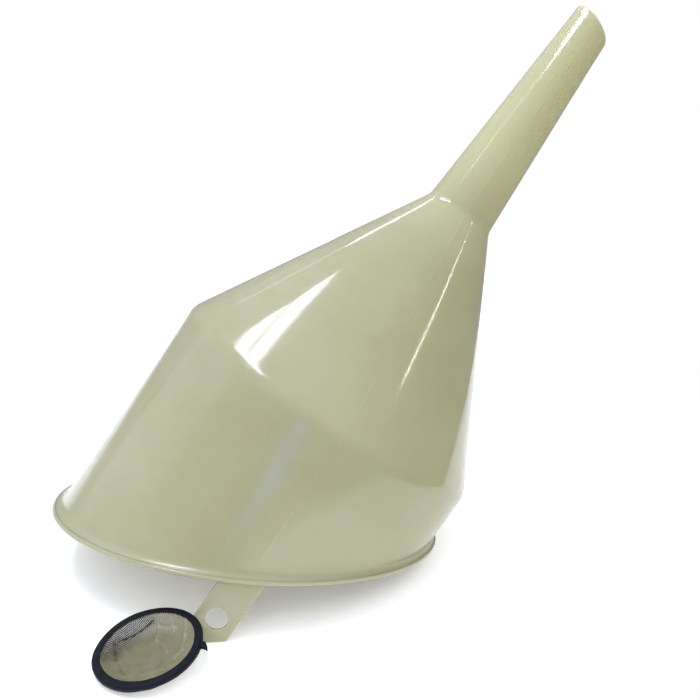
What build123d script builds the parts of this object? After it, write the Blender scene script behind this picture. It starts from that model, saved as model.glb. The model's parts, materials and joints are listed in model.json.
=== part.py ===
from build123d import *
from math import cos, radians, sin, tan
import os

# Funnel with an oblique mouth, standing on the end of its hanging tab and on the far side of its
# rim, and the round wire strainer that belongs in it, lying in front of the tab.
# Row frame, millimetres: +Z up from the surface it stands on, -Y towards the side the hanging tab
# faces, +X towards the side the spout leans to.
# Funnel frame, in which the moulding is drawn: +Z along the funnel's axis from the collar to the
# spout's tip, zero at the crease between collar and cone, +X through the hanging tab, and -Y
# through the longest side of the collar.
# Strainer frame: +Z along the strainer's axis out of its open side, zero at the top of the binding.

# Moulding
WALL = 2.5
COLLAR_RADIUS = 120.0
MOUTH_DEPTH = 110.2
MOUTH_SLOPE = 27.9
CREASE_ROUNDING = 20.0
CONE_HALF_ANGLE = 30.0
NECK_RADIUS = 25.5
NECK_ROUNDING = 14.0
SPOUT_HALF_ANGLE = 3.55
TIP_DISTANCE = 323.5
TIP_CUT_ANGLE = 21.0
TIP_CUT_DIRECTION = -74.0

# Rim lip
LIP_PROJECTION = 4.6
LIP_THICKNESS = 3.2
LIP_FLARE = 2.2
LIP_EDGE_ROUNDING = 0.8

# Hanging tab
TAB_HALF_WIDTH = 13.2
TAB_THICKNESS = 2.5
TAB_HOLE_RADIUS = 7.4
TAB_HOLE_DISTANCE = 29.5
TAB_END_DISTANCE = 48.5
TAB_END_SLOPE = 35.7
TAB_CORNER_ROUNDING = 2.2
TAB_POINT_ROUNDING = 4.0

# How the funnel stands: the lean of its axis, and the direction it leans in from +X towards +Y
LEAN = 36.18
LEAN_DIRECTION = 10.03

# Strainer
BINDING_OUTER_RADIUS = 34.4
BINDING_INNER_RADIUS = 29.1
BINDING_OUTER_HEIGHT = 4.2
BINDING_INNER_HEIGHT = 1.7
BINDING_FOOT_WIDTH = 2.2
BINDING_ROUNDING = 0.7
HOOP_WIRE_RADIUS = 0.9
HOOP_RADIUS = 32.4
HOOP_DEPTH = 1.9
MESH_THICKNESS = 0.5
MARGIN_RADIUS = 31.2
MARGIN_DEPTH = 1.0
DISH_DEPTH = 9.78
DISH_WALL_RADIUS = 28.5
DISH_FLOOR_RADIUS = 20.0
DISH_ROUNDING = 4.0
FLAP_ROOT_DIRECTIONS = (126.0, 135.0)
FLAP_POINT_DIRECTION = 120.5
FLAP_POINT_RADIUS = 39.1
FLAP_TOP_DEPTH = 0.8
FLAP_HEIGHT = 2.6

# Where the strainer lies, from the hanging tab's point: the centre of its top and its tilt
STRAINER_CENTRE = (-29.9, -20.3, 13.6)
STRAINER_TILT = 13.5
STRAINER_TILT_DIRECTION = 219.6

# Length of the blanks that the rim lip is cut from, more than the whole moulding
BLANK_LENGTH = 600.0

# Two places this close together are taken as the same
NEARLY = 0.01


def outline_corners(inset):
    """Crease, neck and far end (radius, height) of the moulding's surface, drawn in by inset."""
    cone = radians(CONE_HALF_ANGLE)
    spout = radians(SPOUT_HALF_ANGLE)
    neck_height = (COLLAR_RADIUS - NECK_RADIUS) / tan(cone)
    crease_radius = COLLAR_RADIUS - inset
    crease_height = inset * (1 - 1 / cos(cone)) / tan(cone)
    cone_start = COLLAR_RADIUS - inset / cos(cone)
    spout_start = NECK_RADIUS + neck_height * tan(spout) - inset / cos(spout)
    inner_neck_height = (cone_start - spout_start) / (tan(cone) - tan(spout))
    inner_neck_radius = cone_start - inner_neck_height * tan(cone)
    end_height = TIP_DISTANCE + 2 * NECK_RADIUS
    end_radius = spout_start - end_height * tan(spout)
    return (crease_radius, crease_height), (inner_neck_radius, inner_neck_height), (end_radius, end_height)


def filled_moulding(inset):
    """The space inside the moulding's surface drawn in by inset, longer than needed at both ends."""
    crease, neck, end = outline_corners(inset)
    foot = -2 * COLLAR_RADIUS
    outline = make_face(Polyline((0, foot), (crease[0], foot), crease, neck, end, (0, end[1]), close=True))
    corners = outline.vertices()
    outline = fillet(corners.sort_by_distance(crease)[0], CREASE_ROUNDING - inset)
    outline = fillet(outline.vertices().sort_by_distance(neck)[0], NECK_ROUNDING + inset)
    return revolve(Plane.XZ * outline, Axis.Z)


def mouth_plane():
    """The oblique plane that the rim lies in, facing into the funnel."""
    slope = radians(MOUTH_SLOPE)
    return Plane((0, 0, -MOUTH_DEPTH), x_dir=(1, 0, 0), z_dir=(0, -sin(slope), cos(slope)))


def tip_plane():
    """The oblique plane that cuts the spout off, facing out of the funnel."""
    cut = radians(TIP_CUT_ANGLE)
    towards = radians(TIP_CUT_DIRECTION)
    normal = (-sin(cut) * cos(towards), -sin(cut) * sin(towards), cos(cut))
    return Plane((0, 0, TIP_DISTANCE), z_dir=normal)


def moulding_wall():
    """Collar, cone and spout as one thin wall, cut off at the mouth and at the tip."""
    wall = filled_moulding(0) - filled_moulding(WALL)
    wall = split(wall, bisect_by=mouth_plane(), keep=Keep.TOP)
    return split(wall, bisect_by=tip_plane(), keep=Keep.BOTTOM)


def rim_lip():
    """The lip round the outside of the rim, flared into the collar's wall."""
    plane = mouth_plane()
    radius = COLLAR_RADIUS + LIP_PROJECTION
    disc = Pos(0, 0, -BLANK_LENGTH / 2) * Cylinder(radius, BLANK_LENGTH)
    disc = split(disc, bisect_by=plane, keep=Keep.TOP)
    disc = split(disc, bisect_by=plane.offset(LIP_THICKNESS), keep=Keep.BOTTOM)
    body = Pos(0, 0, -BLANK_LENGTH / 2) * Cylinder(COLLAR_RADIUS, BLANK_LENGTH)
    body = split(body, bisect_by=plane, keep=Keep.TOP)
    flared = disc + body
    root_edges = [e for e in flared.edges() if is_on_rim(e, COLLAR_RADIUS, plane)]
    flared = fillet(root_edges, LIP_FLARE)
    outer_edges = [e for e in flared.edges() if is_on_rim(e, radius, plane)]
    flared = fillet(outer_edges, LIP_EDGE_ROUNDING)
    return flared - body


def is_on_rim(edge, radius, plane):
    """True for an edge that runs round the rim on a cylinder of the given radius."""
    points = [edge.position_at(part) for part in (1 / 7, 3 / 5)]
    heights = [abs(plane.to_local_coords(point).Z) for point in points]
    misses = [abs((point.X ** 2 + point.Y ** 2) ** 0.5 - radius) for point in points]
    return max(misses) < NEARLY and max(heights) < LIP_THICKNESS + NEARLY


def hanging_tab():
    """The flat tab that carries on from the collar's wall past the rim, with its hole."""
    half = TAB_HALF_WIDTH
    shoulder = TAB_END_DISTANCE - half * tan(radians(TAB_END_SLOPE))
    outline = make_face(
        Polyline((-half, MOUTH_DEPTH / 2), (-half, -shoulder), (0, -TAB_END_DISTANCE), (half, -shoulder),
                 (half, MOUTH_DEPTH / 2), close=True)
    )
    low = outline.vertices().sort_by(Axis.Y)
    outline = fillet(low[0], TAB_POINT_ROUNDING)
    corners = [v for v in outline.vertices() if abs(v.Y + shoulder) < NEARLY]
    outline = fillet(corners, TAB_CORNER_ROUNDING)
    outline -= Pos(0, -TAB_HOLE_DISTANCE) * Circle(TAB_HOLE_RADIUS)
    back_face = Plane((COLLAR_RADIUS - TAB_THICKNESS, 0, -MOUTH_DEPTH), x_dir=(0, 1, 0), z_dir=(1, 0, 0))
    tab = extrude(back_face * outline, TAB_THICKNESS)
    return split(tab, bisect_by=mouth_plane(), keep=Keep.BOTTOM)


def moulding_nodes():
    """The five named regions of the moulding, touching but not overlapping."""
    neck_height = outline_corners(0)[1][1]
    neck_plane = Plane.XY.offset(neck_height)
    wall = moulding_wall()
    collar = split(wall, bisect_by=Plane.XY, keep=Keep.BOTTOM)
    above = split(wall, bisect_by=Plane.XY, keep=Keep.TOP)
    return {
        "collar": collar,
        "cone": split(above, bisect_by=neck_plane, keep=Keep.BOTTOM),
        "spout": split(above, bisect_by=neck_plane, keep=Keep.TOP),
        "rim_lip": rim_lip(),
        "hanging_tab": hanging_tab(),
    }


def strainer_mesh():
    """The dished mesh as one closed sheet: a flat margin in the fold, a sloping wall and a floor."""
    middle = FilletPolyline(
        (0, -DISH_DEPTH + MESH_THICKNESS / 2), (DISH_FLOOR_RADIUS, -DISH_DEPTH + MESH_THICKNESS / 2),
        (DISH_WALL_RADIUS, -MARGIN_DEPTH), (MARGIN_RADIUS, -MARGIN_DEPTH), radius=DISH_ROUNDING
    )
    return revolve(Plane.XZ * trace(middle, MESH_THICKNESS), Axis.Z)


def strainer_hoop():
    """The round wire hoop inside the binding's fold."""
    section = Pos(HOOP_RADIUS, -HOOP_DEPTH) * Circle(HOOP_WIRE_RADIUS)
    return revolve(Plane.XZ * section, Axis.Z)


def around(radius, direction):
    """A point at a radius and a direction in degrees about the strainer's axis."""
    return radius * cos(radians(direction)), radius * sin(radians(direction))


def binding_end():
    """The pointed loose end of the strip, standing off the ring."""
    root = (BINDING_OUTER_RADIUS + BINDING_INNER_RADIUS) / 2
    first, second = FLAP_ROOT_DIRECTIONS
    point = around(FLAP_POINT_RADIUS, FLAP_POINT_DIRECTION)
    outline = make_face(Polyline(around(root, first), point, around(root, second), close=True))
    return extrude(Pos(0, 0, -FLAP_TOP_DEPTH - FLAP_HEIGHT) * outline, FLAP_HEIGHT)


def strainer_binding(mesh, hoop):
    """The strip folded over the mesh's edge, deeper outside than inside, with its loose end."""
    inner, outer = BINDING_INNER_RADIUS, BINDING_OUTER_RADIUS
    outer_foot = outer - BINDING_FOOT_WIDTH
    section = make_face(
        Polyline(
            (inner, 0), (outer, 0), (outer, -BINDING_OUTER_HEIGHT), (outer_foot, -BINDING_OUTER_HEIGHT),
            (inner, -BINDING_INNER_HEIGHT), close=True
        )
    )
    section = fillet(section.vertices(), BINDING_ROUNDING)
    ring = revolve(Plane.XZ * section, Axis.Z)
    return ring + binding_end() - mesh - hoop


def strainer_nodes():
    """The strainer's three pieces."""
    mesh = strainer_mesh()
    hoop = strainer_hoop()
    return {
        "strainer_mesh": mesh,
        "strainer_hoop": hoop,
        "strainer_binding": strainer_binding(mesh, hoop),
    }


def leaning(lean, direction):
    """Unit vector that leans from +Z by an angle towards a direction, both in degrees."""
    lean, direction = radians(lean), radians(direction)
    return sin(lean) * cos(direction), sin(lean) * sin(direction), cos(lean)


def funnel_stance():
    """Funnel frame to a frame with its origin under the funnel, the hanging tab facing -Y."""
    axis = leaning(LEAN, LEAN_DIRECTION)
    return Plane((0, 0, 0), x_dir=(0, -axis[2], axis[1]), z_dir=axis).location


def strainer_stance():
    """Strainer frame to the place where the strainer lies, leaning towards the tab."""
    axis = leaning(STRAINER_TILT, STRAINER_TILT_DIRECTION)
    downhill = leaning(90 + STRAINER_TILT, STRAINER_TILT_DIRECTION)
    return Plane(STRAINER_CENTRE, x_dir=downhill, z_dir=axis).location


def placed_nodes():
    """Every node where it stands, with the origin at the bottom centre of the whole."""
    stance = funnel_stance()
    tab_point = stance * Pos(COLLAR_RADIUS, 0, -MOUTH_DEPTH - TAB_END_DISTANCE)
    nodes = {name: stance * shape.solid() for name, shape in moulding_nodes().items()}
    beside_tab = Location(tab_point.position) * strainer_stance()
    nodes.update({name: beside_tab * shape.solid() for name, shape in strainer_nodes().items()})
    box = Compound(list(nodes.values())).bounding_box()
    to_origin = Pos(-box.center().X, -box.center().Y, -box.min.Z)
    return {name: to_origin * shape for name, shape in nodes.items()}


def main():
    os.makedirs("parts", exist_ok=True)
    for name, shape in placed_nodes().items():
        export_step(shape, f"parts/{name}.step")


if __name__ == "__main__":
    main()
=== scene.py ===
import json
from math import cos, pi, radians, sin, tan

import bmesh
import bpy
import numpy as np
from mathutils import Matrix, Vector, noise


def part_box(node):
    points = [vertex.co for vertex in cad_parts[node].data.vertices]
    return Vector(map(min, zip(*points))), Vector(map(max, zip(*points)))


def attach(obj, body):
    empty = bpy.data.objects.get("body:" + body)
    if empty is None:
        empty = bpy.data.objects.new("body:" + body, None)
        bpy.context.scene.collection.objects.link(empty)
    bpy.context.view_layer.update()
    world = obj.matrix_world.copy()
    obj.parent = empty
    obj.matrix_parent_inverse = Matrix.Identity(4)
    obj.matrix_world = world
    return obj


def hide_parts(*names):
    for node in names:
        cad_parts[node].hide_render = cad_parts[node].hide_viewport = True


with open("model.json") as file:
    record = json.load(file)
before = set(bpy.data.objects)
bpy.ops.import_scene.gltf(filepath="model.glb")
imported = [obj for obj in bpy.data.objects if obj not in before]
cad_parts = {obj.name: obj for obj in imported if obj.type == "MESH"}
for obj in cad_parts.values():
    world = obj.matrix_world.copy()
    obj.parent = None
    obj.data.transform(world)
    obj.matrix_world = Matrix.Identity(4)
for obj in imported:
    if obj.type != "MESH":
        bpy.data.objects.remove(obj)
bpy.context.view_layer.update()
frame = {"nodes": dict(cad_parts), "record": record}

# Everything is in metres. The funnel is drawn in its own frame, as in the CAD: +Z along the axis from the
# collar to the spout's tip, zero at the crease between collar and cone, +X through the hanging tab, and
# -Y through the longest side of the collar. The strainer's frame has +Z out of its open side, zero at
# the top of the binding, and +X downhill.
MM = 0.001

# Moulding
WALL = 2.5 * MM
COLLAR_RADIUS = 120.0 * MM
MOUTH_DEPTH = 110.2 * MM
MOUTH_SLOPE = radians(27.9)
CREASE_ROUNDING = 20.0 * MM
CONE_HALF_ANGLE = radians(30.0)
NECK_RADIUS = 25.5 * MM
NECK_ROUNDING = 14.0 * MM
SPOUT_HALF_ANGLE = radians(3.55)
TIP_DISTANCE = 323.5 * MM
TIP_CUT_ANGLE = radians(21.0)
TIP_CUT_DIRECTION = radians(-74.0)
TIP_OUTER_ROUNDING = 1.0 * MM
TIP_INNER_ROUNDING = 0.7 * MM

# Rim lip
LIP_PROJECTION = 4.6 * MM
LIP_THICKNESS = 3.2 * MM
LIP_FLARE = 4.0 * MM
LIP_EDGE_ROUNDING = 1.4 * MM
RIM_INNER_ROUNDING = 0.8 * MM
SHARP_EDGE = radians(40)

# Parting line of the mould, and how far the moulded surface wanders
PARTING_LINE_HEIGHT = 0.10 * MM
PARTING_LINE_HALF_WIDTH = 0.45 * MM
WANDER = 0.22 * MM
WANDER_LENGTH = 46.0 * MM

# How finely the moulding is drawn: columns round the axis with extra ones in degrees off the parting line,
# rows along each stretch, and the rows over which parting line and wander ease in and out
ROUND_STEPS = 320
PARTING_LINE_COLUMNS = (-0.4, -0.25, -0.12, 0.12, 0.25, 0.4)
COLLAR_ROWS = 48
CREASE_ROWS = 16
CONE_ROWS = 64
NECK_ROWS = 18
SPOUT_ROWS = 48
INNER_SPOUT_ROWS = 12
INNER_CONE_ROWS = 12
INNER_COLLAR_ROWS = 8
EASING_ROWS = 5

# Hanging tab
TAB_HALF_WIDTH = 13.2 * MM
TAB_THICKNESS = 2.5 * MM
TAB_HOLE_RADIUS = 7.4 * MM
TAB_HOLE_DISTANCE = 29.5 * MM
TAB_END_DISTANCE = 48.5 * MM
TAB_END_SLOPE = radians(35.7)
TAB_CORNER_ROUNDING = 2.2 * MM
TAB_POINT_ROUNDING = 4.0 * MM
TAB_EDGE_ROUNDING = 0.35 * MM
TAB_ROOT = 2.0 * MM
TAB_STANDS_OUT = 0.05 * MM
TAB_HOLE_STEPS = 64
TAB_CORNER_STEPS = 8

# Strainer
HOOP_DEPTH = 1.9 * MM
BINDING_OUTER_RADIUS = 34.4 * MM
BINDING_INNER_RADIUS = 29.1 * MM
BINDING_OUTER_HEIGHT = 4.2 * MM
BINDING_INNER_HEIGHT = 1.7 * MM
WIRE_RADIUS = 0.27 * MM
WIRE_SIDES = 5
WIRE_SPACING = 0.86 * MM
MARGIN_RADIUS = 31.2 * MM
MARGIN_DEPTH = 1.0 * MM
DISH_DEPTH = 9.3 * MM
DISH_WALL_RADIUS = 28.5 * MM
DISH_FLOOR_RADIUS = 20.0 * MM
DISH_ROUNDING = 3.0 * MM
SWELL = 0.35 * MM
SWELL_LENGTHS = (5.5 * MM, 6.5 * MM)

# Folds in the wire cloth, in the strainer's plan: start and finish in mm from its centre, how far the
# fold stands up, how far it fades to its left and to its right, looking along it, and how much painted
# highlight (+) or painted shade (-) its crest gets
FOLDS = (
    ((6, -22.5), (-16, -19), 1.7, 0.6, 5.0, -0.7),
    ((3, -27), (11, -22), 1.0, 3.5, 1.4, -0.35),
    ((11, -22), (17, -12), 1.0, 3.0, 1.4, -0.35),
    ((17, -12), (20, 0), 0.8, 3.0, 1.4, -0.3),
    ((-24, -11), (-22, -5), 1.7, 1.0, 1.0, 0.5),
    ((-22, -5), (-17, -14), 1.8, 1.0, 0.9, 0.5),
    ((-17, -14), (-10, -8), 1.6, 1.6, 0.9, 0.55),
    ((-28, 1), (-22, 7), 1.4, 1.1, 1.0, 0.4),
    ((-22, 7), (-15, 13), 1.4, 1.5, 0.9, 0.4),
    ((-15, 13), (-8, 14), 1.2, 1.5, 0.9, 0.35),
    ((-11, -2), (-9, 5), 1.1, 1.2, 1.2, 0.35),
    ((2, 16), (13, 9), 0.6, 2.0, 2.0, 0.2),
)
FOLD_LINE = 1.1 * MM
FOLD_END_FADE = 1.5 * MM
FOLD_SHARE_AT_EDGE = 0.35

# Painted shade along the cloth's -Y side: how dark, and how far from the middle it starts and is full
PAINTED_SIDE_SHADE = 0.85
PAINTED_SIDE_SHADE_START = 12 * MM
PAINTED_SIDE_SHADE_FULL = 25 * MM

# The binding is widest at one side, and its loose end stands out from the ring. The loose end's section is
# given as shares of half its width and half its height
BINDING_STEPS = 144
BINDING_WIDE_SIDE = radians(30.0)
BINDING_WIDENING = 0.8 * MM
FLAP_ROOT = radians(129.5)
FLAP_POINT = radians(122.0)
FLAP_ROOT_RADIUS = 32.6 * MM
FLAP_POINT_RADIUS = 38.9 * MM
FLAP_ROOT_WIDTH = 7.0 * MM
FLAP_HEIGHT = 2.6 * MM
FLAP_TOP_DEPTH = 0.8 * MM
FLAP_BOW = 0.9 * MM
FLAP_THINNING = 0.45
FLAP_DROOP = 0.3 * MM
FLAP_POINT_HALF_WIDTH = 0.25 * MM
FLAP_STATIONS = 9
FLAP_SECTION = (
    (1, 0.75), (0.75, 1), (-0.75, 1), (-1, 0.75), (-1, -0.75), (-0.75, -1), (0.75, -1), (1, -0.75)
)

# Colours, as linear red, green and blue
WHITE = (1.0, 1.0, 1.0)
POLYETHYLENE_DEEP = (0.337, 0.325, 0.188)
POLYETHYLENE_PALE = (0.374, 0.363, 0.226)
# Painted light: a paler spout colour standing in for light shining through its thin wall
POLYETHYLENE_SPOUT_PAINTED_LIGHT = (0.475, 0.460, 0.268)
# Wire cloth: painted-shade colour, usual colour, painted-highlight colour
CLOTH_COLOURS = ((0.05, 0.043, 0.020), (0.42, 0.395, 0.25), (0.62, 0.60, 0.46))
HOOP_COLOURS = ((0.45, 0.45, 0.44), (0.52, 0.52, 0.51), (0.60, 0.60, 0.58))
BINDING_DARK = (0.0025, 0.003, 0.006)
BINDING_RUBBED = (0.006, 0.007, 0.013)
FLOOR_COLOUR = (0.93, 0.93, 0.92)
FLOOR_GLOW = (1.0, 0.98, 0.93)
ROOM = (0.40, 0.39, 0.37)
ROOM_TO_THE_RIGHT = (0.54, 0.52, 0.41)
ROOM_OVERHEAD = (0.30, 0.36, 0.50)
SKY = (0.85, 0.95, 1.2)

# The part of a noise texture's range that it mostly fills
NOISE_RANGE = (0.3, 0.7)

# Polyethylene: heights along the axis where its gloss changes at the crease and where painted light pales
# the spout
GLOSS_CHANGE = (-8.0 * MM, 12.0 * MM)
SPOUT_PAINTED_LIGHT_HEIGHTS = (130.0 * MM, 210.0 * MM)
COLLAR_ROUGHNESS = 0.17
CONE_ROUGHNESS = 0.09
POLYETHYLENE_IOR = 1.51
SCATTER_WEIGHT = 0.6
SCATTER_COLOUR = (1.0, 0.95, 0.6)
SCATTER_DEPTH = 4.0 * MM

# Camera: its place, and the direction that it stands in, in degrees of azimuth and elevation
CAMERA_PLACE = (-0.0407, -0.6401, 0.3589)
CAMERA_DIRECTION = (-4.896, 17.168)
CAMERA_LENS = 50.155
SENSOR_WIDTH = 36.0

# Floor, and the room: the side to which it changes, and how high its overhead light starts and is full
FLOOR_RADIUS = 1.05
FLOOR_CENTRE = (-0.62, 0.50, -0.0002)
FLOOR_GLOW_STRENGTH = 0.25
RIGHT_SIDE = (0.75, -0.66, 0)
RIGHT_SIDE_RANGE = (0.2, 0.9)
OVERHEAD_RANGE = (0.15, 0.90)
SKY_STRENGTH = 0.98
SKY_SPREAD = radians(80)

# Two long ceiling panels side by side: name and place across, as a share of the ceiling's height
CEILING = 1.5
CEILING_PANELS = (("ceiling_a", -0.411), ("ceiling_b", -0.312))
CEILING_BACK = -0.015
CEILING_PANEL_SIZE = (0.69 * CEILING, 0.079 * CEILING)
CEILING_RADIANCE = 15
CEILING_COLOUR = (0.94, 0.98, 1.15)

# Upright and slanting strips: name, start and finish as azimuth and elevation seen from the funnel,
# distance, width, radiance, colour and whether it shows in gloss
STRIPS = (
    ("strip_behind", (-169, 50), (-162, 41), 2.0, 0.07, 16, WHITE, True),
    ("strip_behind_low", (-161, 40), (-152, 34), 2.0, 0.03, 3, WHITE, True),
    ("right_strip", (75, 25), (61, 21.5), 1.6, 0.025, 28, WHITE, True),
    ("left_strip", (-68, 61), (-68, 52), 1.6, 0.07, 7, WHITE, True),
    ("low_strip", (-20, 14), (-19, -8), 0.9, 0.12, 2.0, (0.12, 0.36, 1.25), True),
    ("left_fill", (-125, 20), (-75, 20), 1.9, 1.3, 0.60, (0.90, 0.97, 1.08), True),
    ("front_fill", (-40, 30), (10, 30), 2.4, 1.0, 2.2, (0.95, 0.97, 1.03), False),
    ("right_fill", (25, 38), (85, 38), 2.4, 1.0, 1.9, (1.0, 0.98, 0.95), False),
)


def mount(name):
    """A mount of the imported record: its place and its axis."""
    found = next(m for m in frame["record"]["mounts"] if m["name"] == name)
    return Vector(found["pos_m"]), Vector(found["axis"]).normalized()


def frame_matrix(origin, x_axis, z_axis):
    """The matrix of a right-handed frame from its origin, its x axis and its z axis."""
    y_axis = z_axis.cross(x_axis).normalized()
    x_axis = y_axis.cross(z_axis)
    columns = Matrix((x_axis, y_axis, z_axis)).transposed().to_4x4()
    return Matrix.Translation(origin) @ columns


def funnel_frame():
    """Funnel frame to row frame, from the spout's tip and the hanging hole."""
    tip, axis = mount("spout_tip")
    tab_normal = mount("hang_hole")[1]
    return frame_matrix(tip - axis * TIP_DISTANCE, tab_normal, axis)


def strainer_frame():
    """Strainer frame to row frame, from the hoop inside the binding."""
    low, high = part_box("strainer_hoop")
    centre = (low + high) / 2
    points = np.array([v.co for v in frame["nodes"]["strainer_hoop"].data.vertices]) - np.array(centre)
    axis = Vector(np.linalg.svd(points, full_matrices=False)[2][2])
    if axis.z < 0:
        axis = -axis
    downhill = (axis * axis.z - Vector((0, 0, 1))).normalized()
    return frame_matrix(centre + axis * HOOP_DEPTH, downhill, axis)


def mesh_object(name, vertices, faces, matrix):
    """A smooth mesh object, drawn in the frame of the matrix, with its faces all facing out."""
    mesh = bpy.data.meshes.new(name)
    mesh.from_pydata([tuple(v) for v in vertices], [], faces)
    mesh.transform(matrix)
    work = bmesh.new()
    work.from_mesh(mesh)
    bmesh.ops.recalc_face_normals(work, faces=work.faces)
    work.to_mesh(mesh)
    work.free()
    mesh.shade_smooth()
    made = bpy.data.objects.new(name, mesh)
    bpy.context.scene.collection.objects.link(made)
    return made


def grid_faces(rows, columns):
    """Quads of a grid that closes on itself both ways."""
    faces = []
    for i in range(rows):
        here, below = i * columns, (i + 1) % rows * columns
        for j in range(columns):
            beside = (j + 1) % columns
            faces.append((here + j, here + beside, below + beside, below + j))
    return faces


# ---------------------------------------------------------------- the moulding's surface

def column_angles():
    """Directions of the grid's columns, crowded where the parting line runs."""
    even = [2 * pi * k / ROUND_STEPS for k in range(ROUND_STEPS)]
    close = [radians(a) for a in PARTING_LINE_COLUMNS]
    both = even + [side + a for side in (0, pi) for a in close]
    return np.array(sorted(a % (2 * pi) for a in both))


ANGLES = column_angles()
NECK_HEIGHT = (COLLAR_RADIUS - NECK_RADIUS) / tan(CONE_HALF_ANGLE)
CREASE_REACH = CREASE_ROUNDING * tan(CONE_HALF_ANGLE / 2)
NECK_REACH = NECK_ROUNDING * tan((CONE_HALF_ANGLE - SPOUT_HALF_ANGLE) / 2)


def mouth_row(radius, height):
    """A row of the rim: a radius, and a height off the oblique mouth plane."""
    flat = np.full_like(ANGLES, radius)
    plane = -MOUTH_DEPTH + tan(MOUTH_SLOPE) * radius * np.sin(ANGLES)
    return flat, plane + height / cos(MOUTH_SLOPE)


def level_row(radius, height):
    """A row at one radius and one height along the axis."""
    return np.full_like(ANGLES, radius), np.full_like(ANGLES, height)


def tip_row(inset, height):
    """A row of the spout drawn in by inset, at a height off the oblique tip plane."""
    start = NECK_RADIUS + NECK_HEIGHT * tan(SPOUT_HALF_ANGLE) - inset / cos(SPOUT_HALF_ANGLE)
    rise = tan(TIP_CUT_ANGLE) * np.cos(ANGLES - TIP_CUT_DIRECTION)
    along = (TIP_DISTANCE + height / cos(TIP_CUT_ANGLE) + rise * start) / (1 + rise * tan(SPOUT_HALF_ANGLE))
    return start - along * tan(SPOUT_HALF_ANGLE), along


def steps(count):
    """Shares from 0 to 1, both ends included."""
    return [k / count for k in range(count + 1)]


def quarter_turns(count):
    """Angles from 0 to a right angle, both ends included."""
    return [pi / 2 * t for t in steps(count)]


def between(first, last, count):
    """Rows spread evenly between two rows, neither of them included."""
    return [
        (first[0] + (last[0] - first[0]) * t, first[1] + (last[1] - first[1]) * t)
        for t in steps(count)[1:-1]
    ]


def crease_rows(inset):
    """The rounded crease between collar and cone, drawn in by inset."""
    radius = CREASE_ROUNDING - inset
    return [
        level_row(COLLAR_RADIUS - CREASE_ROUNDING + radius * cos(turn), -CREASE_REACH + radius * sin(turn))
        for turn in (CONE_HALF_ANGLE * t for t in steps(CREASE_ROWS))
    ]


def neck_rows(inset):
    """The rounded neck between cone and spout, drawn in by inset."""
    radius = NECK_ROUNDING + inset
    along = NECK_HEIGHT - NECK_REACH * cos(CONE_HALF_ANGLE) + NECK_ROUNDING * sin(CONE_HALF_ANGLE)
    out = NECK_RADIUS + NECK_REACH * sin(CONE_HALF_ANGLE) + NECK_ROUNDING * cos(CONE_HALF_ANGLE)
    turns = (CONE_HALF_ANGLE + (SPOUT_HALF_ANGLE - CONE_HALF_ANGLE) * t for t in steps(NECK_ROWS))
    return [level_row(out - radius * cos(turn), along - radius * sin(turn)) for turn in turns]


def lip_rows():
    """The rim from its inner edge round the lip to the foot of the collar's outer wall."""
    inner = COLLAR_RADIUS - WALL
    outer = COLLAR_RADIUS + LIP_PROJECTION
    rim = [
        (inner + RIM_INNER_ROUNDING * (1 - cos(turn)), RIM_INNER_ROUNDING * (1 - sin(turn)))
        for turn in quarter_turns(4)
    ]
    lower_edge = [
        (outer - LIP_EDGE_ROUNDING * (1 - sin(turn)), LIP_EDGE_ROUNDING * (1 - cos(turn)))
        for turn in quarter_turns(5)
    ]
    upper_edge = [
        (outer - LIP_EDGE_ROUNDING * (1 - cos(turn)), LIP_THICKNESS - LIP_EDGE_ROUNDING * (1 - sin(turn)))
        for turn in quarter_turns(5)
    ]
    flare = [
        (COLLAR_RADIUS + LIP_FLARE * (1 - sin(turn)), LIP_THICKNESS + LIP_FLARE * (1 - cos(turn)))
        for turn in quarter_turns(6)
    ]
    return [mouth_row(*place) for place in rim + lower_edge + upper_edge + flare]


def tip_rows():
    """The spout's rounded end, from outside to inside."""
    outside = [
        tip_row(TIP_OUTER_ROUNDING * (1 - cos(turn)), -TIP_OUTER_ROUNDING * (1 - sin(turn)))
        for turn in quarter_turns(5)
    ]
    inside = [
        tip_row(WALL - TIP_INNER_ROUNDING * (1 - sin(turn)), -TIP_INNER_ROUNDING * (1 - cos(turn)))
        for turn in quarter_turns(4)
    ]
    return outside + inside


def wander(point):
    """How far in the surface lies at a point, as the moulding shrank a little unevenly."""
    place = Vector(point) / WANDER_LENGTH
    value = noise.noise(place) + 0.4 * noise.noise(place * 2.3)
    return WANDER * (0.5 - 0.36 * value)


def shifted(row, share):
    """A row of the outer skin with a share of the parting line and of the surface's wander added."""
    radius, height = row
    away = np.abs(np.sin(ANGLES)) * radius
    line = PARTING_LINE_HEIGHT * np.exp(-(away / PARTING_LINE_HALF_WIDTH) ** 2)
    drift = np.array([
        wander((r * cos(a), r * sin(a), z)) for r, a, z in zip(radius, ANGLES, height)
    ])
    return radius + share * (line - drift), height


def moulding_rows():
    """All rows of the moulding's closed surface, out over the lip and the spout and back inside."""
    lip = lip_rows()
    crease = crease_rows(0)
    neck = neck_rows(0)
    tip = tip_rows()
    wall = between(lip[-1], crease[0], COLLAR_ROWS)
    cone = between(crease[-1], neck[0], CONE_ROWS)
    spout = between(neck[-1], tip[0], SPOUT_ROWS)
    skin = wall + crease + cone + neck + spout
    eased = [min(1, (k + 1) / EASING_ROWS, (len(skin) - k) / EASING_ROWS) for k in range(len(skin))]
    skin = [shifted(row, share) for row, share in zip(skin, eased)]
    inner_neck = neck_rows(WALL)[::-1]
    inner_crease = crease_rows(WALL)[::-1]
    inside = (
        between(tip[-1], inner_neck[0], INNER_SPOUT_ROWS) + inner_neck
        + between(inner_neck[-1], inner_crease[0], INNER_CONE_ROWS) + inner_crease
        + between(inner_crease[-1], lip[0], INNER_COLLAR_ROWS)
    )
    return lip + skin + tip + inside


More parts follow.
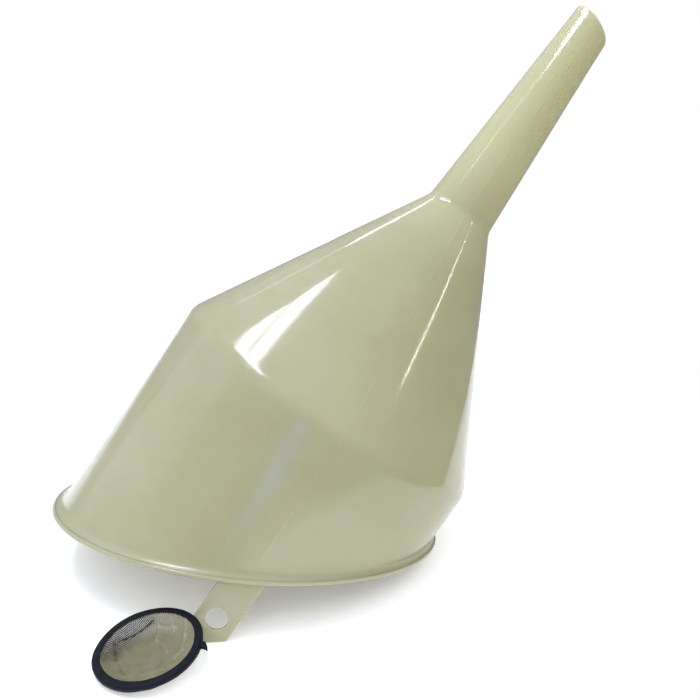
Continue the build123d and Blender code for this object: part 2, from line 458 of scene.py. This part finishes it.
def tab_outline():
    """The tab's outline, from its root in the rim to its blunt point, with rounded corners."""
    half = TAB_HALF_WIDTH - TAB_EDGE_ROUNDING
    end = TAB_END_DISTANCE - TAB_EDGE_ROUNDING
    shoulder = end - half * tan(TAB_END_SLOPE)
    root = [(side * half, side * half * tan(MOUTH_SLOPE) + TAB_ROOT) for side in (1, -1)]
    corners = [
        (root[0], 0), (root[1], 0), ((-half, -shoulder), TAB_CORNER_ROUNDING),
        ((0, -end), TAB_POINT_ROUNDING), ((half, -shoulder), TAB_CORNER_ROUNDING)
    ]
    return rounded_outline(corners)


def rounded_outline(corners):
    """The points of a closed outline whose corners are (point, rounding)."""
    points = []
    for k, (corner, rounding) in enumerate(corners):
        corner = Vector(corner)
        if rounding == 0:
            points.append(corner)
            continue
        before = (Vector(corners[k - 1][0]) - corner).normalized()
        after = (Vector(corners[(k + 1) % len(corners)][0]) - corner).normalized()
        half_angle = before.angle(after) / 2
        centre = corner + (before + after).normalized() * (rounding / sin(half_angle))
        start = corner + before * (rounding / tan(half_angle)) - centre
        finish = corner + after * (rounding / tan(half_angle)) - centre
        turn = start.angle_signed(finish)
        for t in steps(TAB_CORNER_STEPS):
            spin = Matrix.Rotation(-turn * t, 2)
            points.append(centre + spin @ start)
    return points


def closed_curve(data, points):
    """A closed straight-sided spline through points, added to a flat curve."""
    spline = data.splines.new("POLY")
    spline.points.add(len(points) - 1)
    for place, point in zip(spline.points, points):
        place.co = (point[0], point[1], 0, 1)
    spline.use_cyclic_u = True


def hanging_tab():
    """The flat tab as a closed mesh in the funnel frame, its edges and its hole's edges rounded."""
    data = bpy.data.curves.new("tab", "CURVE")
    data.dimensions = "2D"
    data.fill_mode = "BOTH"
    closed_curve(data, tab_outline())
    hole = TAB_HOLE_RADIUS + TAB_EDGE_ROUNDING
    turns = [2 * pi * k / TAB_HOLE_STEPS for k in range(TAB_HOLE_STEPS)]
    closed_curve(data, [(hole * cos(a), hole * sin(a) - TAB_HOLE_DISTANCE) for a in turns])
    data.extrude = TAB_THICKNESS / 2 - TAB_EDGE_ROUNDING
    data.bevel_depth = TAB_EDGE_ROUNDING
    data.bevel_resolution = 3
    curve = bpy.data.objects.new("tab_curve", data)
    bpy.context.scene.collection.objects.link(curve)
    bpy.context.view_layer.update()
    mesh = bpy.data.meshes.new_from_object(curve)
    bpy.data.objects.remove(curve)
    middle = COLLAR_RADIUS - TAB_THICKNESS / 2 + TAB_STANDS_OUT
    # The curve's x runs along the funnel's y and its y along the funnel's z
    mesh.transform(Matrix(((0, 0, 1, middle), (1, 0, 0, 0), (0, 1, 0, -MOUTH_DEPTH), (0, 0, 0, 1))))
    return mesh


def cleaned(mesh):
    """The mesh welded, with its faces facing out."""
    work = bmesh.new()
    work.from_mesh(mesh)
    bmesh.ops.remove_doubles(work, verts=work.verts, dist=0.002 * MM)
    bmesh.ops.recalc_face_normals(work, faces=work.faces)
    work.to_mesh(mesh)
    work.free()
    return mesh


def moulding(matrix):
    """The whole polyethylene moulding as one closed surface."""
    rows = moulding_rows()
    vertices = [
        (r * cos(a), r * sin(a), z) for radius, height in rows for r, a, z in zip(radius, ANGLES, height)
    ]
    shell = mesh_object("moulding", vertices, grid_faces(len(rows), len(ANGLES)), matrix)
    tab = bpy.data.objects.new("tab_part", cleaned(hanging_tab()))
    tab.data.transform(matrix)
    bpy.context.scene.collection.objects.link(tab)
    union = shell.modifiers.new("union", "BOOLEAN")
    union.operation = "UNION"
    union.solver = "EXACT"
    union.object = tab
    bpy.context.view_layer.update()
    joined = bpy.data.meshes.new_from_object(shell.evaluated_get(bpy.context.evaluated_depsgraph_get()))
    shell.modifiers.clear()
    shell.data = joined
    bpy.data.objects.remove(tab)
    shell.data.shade_smooth()
    shell.data.set_sharp_from_angle(angle=SHARP_EDGE)
    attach(shell, "funnel")
    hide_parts("collar", "cone", "spout", "rim_lip", "hanging_tab")
    return shell


# ---------------------------------------------------------------- the strainer

def smooth_step(value, low, high):
    """0 below low, 1 above high, and a smooth rise between."""
    t = np.clip((value - low) / (high - low), 0, 1)
    return t * t * (3 - 2 * t)


def dish_height(x, y):
    """Height of the wire cloth over a point of its plan: floor, sloping wall and flat margin."""
    radius = np.hypot(x, y)
    rise = (radius - DISH_FLOOR_RADIUS) / (DISH_WALL_RADIUS - DISH_FLOOR_RADIUS)
    wall = -DISH_DEPTH + (DISH_DEPTH - MARGIN_DEPTH) * rise
    softness = DISH_ROUNDING / 2
    height = -DISH_DEPTH + softness * np.logaddexp(0, (wall + DISH_DEPTH) / softness)
    return np.minimum(height, -MARGIN_DEPTH)


def fold_place(x, y, start, finish):
    """Distance to the left of a fold's line, and how much of the fold is left past its ends."""
    start, finish = np.array(start) * MM, np.array(finish) * MM
    run = finish - start
    length = np.hypot(*run)
    along = ((x - start[0]) * run[0] + (y - start[1]) * run[1]) / length
    aside = ((y - start[1]) * run[0] - (x - start[0]) * run[1]) / length
    beyond = np.maximum(np.maximum(-along, along - length), 0)
    return aside, np.exp(-(beyond / FOLD_END_FADE) ** 2)


def fold_height(x, y, fold):
    """How far one fold lifts the cloth over a point of its plan."""
    start, finish, rise, left_fade, right_fade, _ = fold
    aside, left = fold_place(x, y, start, finish)
    fade = np.where(aside > 0, left_fade, right_fade) * MM
    return rise * MM * left * np.exp(-np.abs(aside) / fade)


def painted_light_and_shade(x, y):
    """Painted light on the cloth: painted shade (-) along one side and in creases, painted highlight (+) on
    crests.
    """
    # painted shade: the cloth darker towards its -Y side
    tone = -PAINTED_SIDE_SHADE * smooth_step(0.1 * x - y, PAINTED_SIDE_SHADE_START, PAINTED_SIDE_SHADE_FULL)
    for start, finish, *_, shade in FOLDS:
        aside, left = fold_place(x, y, start, finish)
        # painted shade in each crease and painted highlight on each crest, along the fold's line
        tone = tone + shade * left * np.exp(-(aside / FOLD_LINE) ** 2)
    return tone


def cloth_height(x, y):
    """Height of the wire cloth with its folds and its uneven floor."""
    height = dish_height(x, y)
    inside = smooth_step(-np.hypot(x, y), -MARGIN_RADIUS + FOLD_END_FADE, -DISH_FLOOR_RADIUS)
    lift = sum(fold_height(x, y, fold) for fold in FOLDS)
    swell = SWELL * (1 + np.sin(x / SWELL_LENGTHS[0] + 1.3) * np.sin(y / SWELL_LENGTHS[1] + 0.4))
    return height + np.maximum(inside, FOLD_SHARE_AT_EDGE) * lift + inside * swell


def wire_line(offset, index, along_x):
    """The middle line of one wire, which goes over and under the wires that cross it."""
    reach = (MARGIN_RADIUS ** 2 - offset ** 2) ** 0.5
    spacing = WIRE_SPACING / 2
    count = int(reach / spacing)
    t = np.arange(-count, count + 1) * spacing
    side = np.full_like(t, offset)
    x, y = (t, side) if along_x else (side, t)
    crossing = np.cos(pi * t / WIRE_SPACING + pi * index + (0 if along_x else pi))
    z = cloth_height(x, y) + crossing * WIRE_RADIUS
    return np.stack([x, y, z], 1)


def tube(points, radius, sides):
    """Vertices and faces of a round tube along points, closed at both ends."""
    ahead = np.gradient(points, axis=0)
    ahead /= np.linalg.norm(ahead, axis=1)[:, None]
    across = np.cross(ahead, (0.0, 0.0, 1.0))
    across /= np.linalg.norm(across, axis=1)[:, None]
    up = np.cross(across, ahead)
    turns = 2 * pi * np.arange(sides) / sides
    ring = across[:, None, :] * np.cos(turns)[None, :, None] + up[:, None, :] * np.sin(turns)[None, :, None]
    vertices = (points[:, None, :] + radius * ring).reshape(-1, 3)
    count = len(points)
    faces = [
        (i * sides + j, i * sides + (j + 1) % sides, (i + 1) * sides + (j + 1) % sides, (i + 1) * sides + j)
        for i in range(count - 1) for j in range(sides)
    ]
    faces.append(tuple(range(sides)))
    faces.append(tuple((count - 1) * sides + j for j in range(sides - 1, -1, -1)))
    return vertices, faces


def wire_cloth(matrix):
    """The woven wire dish, wire by wire."""
    vertices, faces, tones = [], [], []
    count = int((MARGIN_RADIUS - WIRE_SPACING) / WIRE_SPACING)
    for along_x in (True, False):
        for index in range(-count, count + 1):
            points = wire_line(index * WIRE_SPACING, index, along_x)
            wire_vertices, wire_faces = tube(points, WIRE_RADIUS, WIRE_SIDES)
            first = len(vertices)
            vertices.extend(wire_vertices)
            # painted shade and painted highlight at each point, kept as an attribute for the wire's colour
            tones.extend(np.repeat(painted_light_and_shade(points[:, 0], points[:, 1]), WIRE_SIDES))
            faces.extend(tuple(first + k for k in face) for face in wire_faces)
    cloth = mesh_object("wire_cloth", vertices, faces, matrix)
    cloth.data.attributes.new("painted_light_and_shade", "FLOAT", "POINT").data.foreach_set("value", tones)
    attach(cloth, "strainer")
    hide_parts("strainer_mesh")
    return cloth


def binding_section(direction):
    """The folded strip's outline at one direction round the ring, as (radius, height) pairs.

    It runs from the inner edge over the top and down the outside, then back underneath."""
    around = Vector((cos(direction), sin(direction), 0))
    sway = noise.noise(around * 1.6 + Vector((0.3, 0.1, 0.7)))
    pucker = noise.noise(around * 6 + Vector((3.3, 1.1, 2.7)))
    outer = BINDING_OUTER_RADIUS - 0.45 * MM * (0.5 + sway) + 0.12 * MM * pucker
    inner = BINDING_INNER_RADIUS - 0.35 * MM * (0.5 + sway) - 0.22 * MM * pucker
    inner -= BINDING_WIDENING * max(0, cos(direction - BINDING_WIDE_SIDE))
    low = BINDING_OUTER_HEIGHT - 0.25 * MM * (0.5 - pucker)
    inner_low = BINDING_INNER_HEIGHT
    dip = 0.16 * MM * (0.5 + pucker)
    return [
        (inner, -0.55 * inner_low), (inner + 0.25 * MM, -0.35 * MM), (inner + 1.3 * MM, -0.06 * MM),
        ((inner + outer) / 2, -dip), (outer - 1.2 * MM, -0.08 * MM), (outer - 0.25 * MM, -0.55 * MM),
        (outer, -1.5 * MM), (outer - 0.10 * MM, -2.8 * MM), (outer - 0.35 * MM, -low + 0.35 * MM),
        (outer - 0.9 * MM, -low), (outer - 1.9 * MM, -low + 0.15 * MM), (outer - 2.4 * MM, -low + 0.7 * MM),
        (inner + 1.1 * MM, -inner_low - 0.4 * MM), (inner + 0.35 * MM, -inner_low)
    ]


def rounded_by_subdivision(piece, levels):
    """Smooths a piece's control mesh and keeps the result as its mesh."""
    modifier = piece.modifiers.new("subdivision", "SUBSURF")
    modifier.levels = levels
    modifier.render_levels = levels
    bpy.context.view_layer.update()
    graph = bpy.context.evaluated_depsgraph_get()
    mesh = bpy.data.meshes.new_from_object(piece.evaluated_get(graph))
    piece.modifiers.clear()
    piece.data = mesh
    piece.data.shade_smooth()


def binding(matrix):
    """The strip folded over the cloth's edge all the way round."""
    turns = [2 * pi * k / BINDING_STEPS for k in range(BINDING_STEPS)]
    sections = [binding_section(turn) for turn in turns]
    rows = len(sections[0])
    vertices = [
        (section[row][0] * cos(turn), section[row][0] * sin(turn), section[row][1])
        for row in range(rows) for section, turn in zip(sections, turns)
    ]
    ring = mesh_object("binding_ring", vertices, grid_faces(rows, BINDING_STEPS), matrix)
    rounded_by_subdivision(ring, 1)
    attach(ring, "strainer")
    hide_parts("strainer_binding")
    return ring


def binding_end(matrix):
    """The strip's loose end: a tongue that tapers to a point as it leaves the ring."""
    root = Vector((cos(FLAP_ROOT), sin(FLAP_ROOT))) * FLAP_ROOT_RADIUS
    point = Vector((cos(FLAP_POINT), sin(FLAP_POINT))) * FLAP_POINT_RADIUS
    ahead = (point - root).normalized()
    aside = Vector((-ahead.y, ahead.x))
    vertices, faces = [], []
    for share in steps(FLAP_STATIONS - 1):
        centre = root.lerp(point, share) + aside * FLAP_BOW * sin(pi * share)
        half_width = max(FLAP_ROOT_WIDTH / 2 * (1 - share), FLAP_POINT_HALF_WIDTH)
        half_height = FLAP_HEIGHT / 2 * (1 - FLAP_THINNING * share)
        middle = -FLAP_TOP_DEPTH - FLAP_HEIGHT / 2 - FLAP_DROOP * share
        for across, up in FLAP_SECTION:
            spot = centre + aside * half_width * across
            vertices.append((spot.x, spot.y, middle + half_height * up))
    sides = len(FLAP_SECTION)
    for k in range(FLAP_STATIONS - 1):
        near, far = k * sides, (k + 1) * sides
        for c in range(sides):
            faces.append((near + c, near + (c + 1) % sides, far + (c + 1) % sides, far + c))
    faces.append(tuple(range(sides)))
    faces.append(tuple((FLAP_STATIONS - 1) * sides + c for c in range(sides)))
    end = mesh_object("binding_end", vertices, faces, matrix)
    rounded_by_subdivision(end, 2)
    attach(end, "strainer")
    return end


# ---------------------------------------------------------------- materials

def new_material(name):
    """A material with nodes, and its shader."""
    material = bpy.data.materials.new(name)
    material.use_nodes = True
    return material, material.node_tree.nodes["Principled BSDF"]


def add_node(material, kind, **settings):
    """A node with its own settings, and its inputs by name."""
    node = material.node_tree.nodes.new(kind)
    inputs = settings.pop("inputs", {})
    for key, value in settings.items():
        setattr(node, key, value)
    for key, value in inputs.items():
        node.inputs[key].default_value = value
    return node


def link(material, output, target):
    """Joins a node's output to another's input."""
    material.node_tree.links.new(output, target)


def own_place(material, matrix):
    """A point's place in the frame of the matrix, for textures that follow the piece."""
    place = add_node(material, "ShaderNodeMapping", vector_type="TEXTURE", inputs={
        "Location": matrix.to_translation(), "Rotation": matrix.to_euler()
    })
    link(material, add_node(material, "ShaderNodeTexCoord").outputs["Object"], place.inputs["Vector"])
    return place.outputs["Vector"]


def noise_node(material, place, scale, detail, roughness, distortion=0.0):
    """A noise texture over a piece's own places."""
    node = add_node(material, "ShaderNodeTexNoise", inputs={
        "Scale": scale, "Detail": detail, "Roughness": roughness, "Distortion": distortion
    })
    link(material, place, node.inputs["Vector"])
    return node.outputs["Fac"]


def ranged(material, value, source, target):
    """A value carried from one range to another, each a (low, high) pair."""
    node = add_node(material, "ShaderNodeMapRange", inputs={
        "From Min": source[0], "From Max": source[1], "To Min": target[0], "To Max": target[1]
    })
    link(material, value, node.inputs["Value"])
    return node.outputs["Result"]


def added(material, first, second):
    """The sum of two values."""
    node = add_node(material, "ShaderNodeMath", operation="ADD")
    link(material, first, node.inputs[0])
    link(material, second, node.inputs[1])
    return node.outputs[0]


def ramp(material, value, stops):
    """Colours along a value, as (position, colour) pairs."""
    node = add_node(material, "ShaderNodeValToRGB")
    elements = node.color_ramp.elements
    while len(elements) < len(stops):
        elements.new(0.5)
    for element, (position, colour) in zip(elements, stops):
        element.position = position
        element.color = (*colour, 1)
    link(material, value, node.inputs["Fac"])
    return node.outputs["Color"]


def mixed(material, first, second, factor=None, blend_type="MIX"):
    """Two colours mixed by a factor, or in full without one. The second may be a plain colour."""
    node = add_node(
        material, "ShaderNodeMix", data_type="RGBA", blend_type=blend_type, inputs={"Factor": 1.0}
    )
    if factor is not None:
        link(material, factor, node.inputs["Factor"])
    link(material, first, node.inputs["A"])
    if isinstance(second, tuple):
        node.inputs["B"].default_value = (*second, 1)
    else:
        link(material, second, node.inputs["B"])
    return node.outputs["Result"]


def bump(material, value, strength, distance, before=None):
    """A bump from a height, on top of an earlier bump."""
    node = add_node(material, "ShaderNodeBump", inputs={"Strength": strength, "Distance": distance})
    link(material, value, node.inputs["Height"])
    if before is not None:
        link(material, before, node.inputs["Normal"])
    return node.outputs["Normal"]


def polyethylene(matrix):
    """Milky natural polyethylene, a little duller on the collar, with painted light that pales the spout.
    """
    material, shader = new_material("polyethylene")
    place = own_place(material, matrix)
    along = add_node(material, "ShaderNodeSeparateXYZ")
    link(material, place, along.inputs[0])
    height = along.outputs["Z"]
    cloud = noise_node(material, place, scale=14, detail=4, roughness=0.55, distortion=0.4)
    colour = ramp(material, cloud, [(0.30, POLYETHYLENE_DEEP), (0.70, POLYETHYLENE_PALE)])
    # painted light: the spout paler, standing in for light shining through its thin wall
    spout = ranged(material, height, SPOUT_PAINTED_LIGHT_HEIGHTS, (0.0, 1.0))
    link(material, mixed(material, colour, POLYETHYLENE_SPOUT_PAINTED_LIGHT, spout), shader.inputs["Base Color"])
    satin = ranged(material, height, GLOSS_CHANGE, (COLLAR_ROUGHNESS, CONE_ROUGHNESS))
    smears = noise_node(material, place, scale=34, detail=5, roughness=0.6, distortion=0.6)
    smears = ranged(material, smears, NOISE_RANGE, (-0.03, 0.04))
    link(material, added(material, satin, smears), shader.inputs["Roughness"])
    orange_peel = noise_node(material, place, scale=260, detail=2, roughness=0.5)
    grain = noise_node(material, place, scale=2600, detail=2, roughness=0.6)
    normal = bump(material, orange_peel, strength=0.06, distance=0.2 * MM)
    normal = bump(material, grain, strength=0.04, distance=0.1 * MM, before=normal)
    link(material, normal, shader.inputs["Normal"])
    shader.inputs["IOR"].default_value = POLYETHYLENE_IOR
    shader.inputs["Subsurface Weight"].default_value = SCATTER_WEIGHT
    shader.inputs["Subsurface Radius"].default_value = SCATTER_COLOUR
    shader.inputs["Subsurface Scale"].default_value = SCATTER_DEPTH
    return material


def wire_metal(name, matrix, colours, roughness):
    """Dull drawn wire, from a painted-shade colour over its usual one to a painted-highlight colour."""
    material, shader = new_material(name)
    place = own_place(material, matrix)
    patches = noise_node(material, place, scale=140, detail=3, roughness=0.6)
    patches = ranged(material, patches, NOISE_RANGE, (0.42, 0.58))
    # painted shade and painted highlight, read from the mesh's attribute where it has one
    painted_shading = add_node(material, "ShaderNodeAttribute", attribute_name="painted_light_and_shade").outputs["Fac"]
    tone = added(material, patches, ranged(material, painted_shading, (-1.0, 1.0), (-0.5, 0.5)))
    colour = ramp(material, tone, list(zip((0.0, 0.5, 1.0), colours)))
    link(material, colour, shader.inputs["Base Color"])
    scratches = noise_node(material, place, scale=5200, detail=2, roughness=0.6)
    dullness = ranged(material, scratches, NOISE_RANGE, (roughness - 0.08, roughness + 0.1))
    link(material, dullness, shader.inputs["Roughness"])
    link(material, bump(material, scratches, strength=0.15, distance=0.02 * MM), shader.inputs["Normal"])
    shader.inputs["Metallic"].default_value = 1.0
    return material


def binding_strip(matrix):
    """Navy-black strip, satin, with a fine grain and paler rubbed places."""
    material, shader = new_material("binding_strip")
    place = own_place(material, matrix)
    patches = noise_node(material, place, scale=160, detail=4, roughness=0.6)
    colour = ramp(material, patches, [(0.35, BINDING_DARK), (0.75, BINDING_RUBBED)])
    link(material, colour, shader.inputs["Base Color"])
    grain = noise_node(material, place, scale=2400, detail=3, roughness=0.6)
    link(material, ranged(material, grain, NOISE_RANGE, (0.46, 0.66)), shader.inputs["Roughness"])
    normal = bump(material, grain, strength=0.35, distance=0.12 * MM)
    normal = bump(material, patches, strength=0.3, distance=0.6 * MM, before=normal)
    link(material, normal, shader.inputs["Normal"])
    shader.inputs["Specular IOR Level"].default_value = 0.15
    return material


def dress(piece, material):
    """Gives a piece its one material."""
    piece.data.materials.clear()
    piece.data.materials.append(material)


# ---------------------------------------------------------------- stage, lights and camera

FUNNEL = funnel_frame()
STRAINER = strainer_frame()
LIGHT_CENTRE = FUNNEL @ Vector((0, 0, 60 * MM))


def direction(azimuth, elevation):
    """Unit vector at an azimuth, 0 towards -Y and + towards +X, and an elevation, both in degrees."""
    a, e = radians(azimuth), radians(elevation)
    return Vector((sin(a) * cos(e), -cos(a) * cos(e), sin(e)))


def panel(name, place, facing, long_way, size, radiance, colour):
    """A rectangular light of a size (long side, short side), which the camera doesn't see."""
    data = bpy.data.lights.new(name, "AREA")
    data.shape = "RECTANGLE"
    data.size, data.size_y = size
    data.energy = radiance * pi * size[0] * size[1]
    data.color = colour
    lamp = bpy.data.objects.new(name, data)
    bpy.context.scene.collection.objects.link(lamp)
    lamp.matrix_world = frame_matrix(place, long_way, -facing)
    lamp.visible_camera = False
    return lamp


def strip(name, start, finish, distance, width, radiance, colour):
    """A light whose long side spans two directions seen from the funnel."""
    first = LIGHT_CENTRE + direction(*start) * distance
    last = LIGHT_CENTRE + direction(*finish) * distance
    middle = (first + last) / 2
    run = last - first
    facing = (LIGHT_CENTRE - middle).normalized()
    return panel(name, middle, facing, run.normalized(), (run.length, width), radiance, colour)


def sky():
    """Wide soft light from straight above, which leaves no reflection."""
    data = bpy.data.lights.new("sky", "SUN")
    data.energy = SKY_STRENGTH
    data.color = SKY
    data.angle = SKY_SPREAD
    lamp = bpy.data.objects.new("sky", data)
    lamp.visible_glossy = False
    bpy.context.scene.collection.objects.link(lamp)


def lights():
    """Soft studio light: two long ceiling panels side by side, strips round the room and soft fill."""
    down = Vector((0, 0, -1))
    back = Vector((0, 1, 0))
    for name, across in CEILING_PANELS:
        place = LIGHT_CENTRE + Vector((across, CEILING_BACK, 1)) * CEILING
        panel(name, place, down, back, CEILING_PANEL_SIZE, CEILING_RADIANCE, CEILING_COLOUR)
    for *strip_settings, glossy in STRIPS:
        strip(*strip_settings).visible_glossy = glossy
    sky()


def world_light():
    """A pale room, a little brighter to the right and overhead, and white where the camera sees it."""
    world = bpy.data.worlds.new("room")
    world.use_nodes = True
    towards = add_node(world, "ShaderNodeTexCoord").outputs["Generated"]
    rightness = add_node(world, "ShaderNodeVectorMath", operation="DOT_PRODUCT")
    rightness.inputs[1].default_value = RIGHT_SIDE
    link(world, towards, rightness.inputs[0])
    side = ranged(world, rightness.outputs["Value"], RIGHT_SIDE_RANGE, (0.0, 1.0))
    around = ramp(world, side, [(0.0, ROOM), (1.0, ROOM_TO_THE_RIGHT)])
    height = add_node(world, "ShaderNodeSeparateXYZ")
    link(world, towards, height.inputs[0])
    low, high = OVERHEAD_RANGE
    overhead = ramp(world, height.outputs["Z"], [(low, (0, 0, 0)), (high, ROOM_OVERHEAD)])
    background = world.node_tree.nodes["Background"]
    link(world, mixed(world, around, overhead, blend_type="ADD"), background.inputs["Color"])
    seen = add_node(world, "ShaderNodeBackground", inputs={"Color": (*WHITE, 1)})
    either = add_node(world, "ShaderNodeMixShader")
    link(world, add_node(world, "ShaderNodeLightPath").outputs["Is Camera Ray"], either.inputs["Fac"])
    link(world, background.outputs[0], either.inputs[1])
    link(world, seen.outputs[0], either.inputs[2])
    link(world, either.outputs[0], world.node_tree.nodes["World Output"].inputs["Surface"])
    bpy.context.scene.world = world


def floor():
    """A wide plain pale floor."""
    bpy.ops.mesh.primitive_circle_add(
        vertices=192, radius=FLOOR_RADIUS, fill_type="NGON", location=FLOOR_CENTRE
    )
    made = bpy.context.object
    made.name = "floor"
    material, shader = new_material("floor_paint")
    shader.inputs["Base Color"].default_value = (*FLOOR_COLOUR, 1)
    shader.inputs["Roughness"].default_value = 0.9
    shader.inputs["Specular IOR Level"].default_value = 0.1
    shader.inputs["Emission Color"].default_value = (*FLOOR_GLOW, 1)
    shader.inputs["Emission Strength"].default_value = FLOOR_GLOW_STRENGTH
    made.data.materials.append(material)


def camera():
    """The camera, looking down a little from in front."""
    data = bpy.data.cameras.new("camera")
    data.sensor_width = SENSOR_WIDTH
    data.lens = CAMERA_LENS
    made = bpy.data.objects.new("camera", data)
    bpy.context.scene.collection.objects.link(made)
    made.location = CAMERA_PLACE
    made.rotation_mode = "QUATERNION"
    made.rotation_quaternion = (-direction(*CAMERA_DIRECTION)).to_track_quat("-Z", "Y")
    bpy.context.scene.camera = made


camera()
dress(moulding(FUNNEL), polyethylene(FUNNEL))
dress(wire_cloth(STRAINER), wire_metal("wire_cloth_metal", STRAINER, CLOTH_COLOURS, roughness=0.4))
strip_material = binding_strip(STRAINER)
dress(binding(STRAINER), strip_material)
dress(binding_end(STRAINER), strip_material)
dress(frame["nodes"]["strainer_hoop"], wire_metal("hoop_metal", STRAINER, HOOP_COLOURS, roughness=0.3))
floor()
world_light()
lights()
bpy.context.scene.view_settings.view_transform = "Standard"
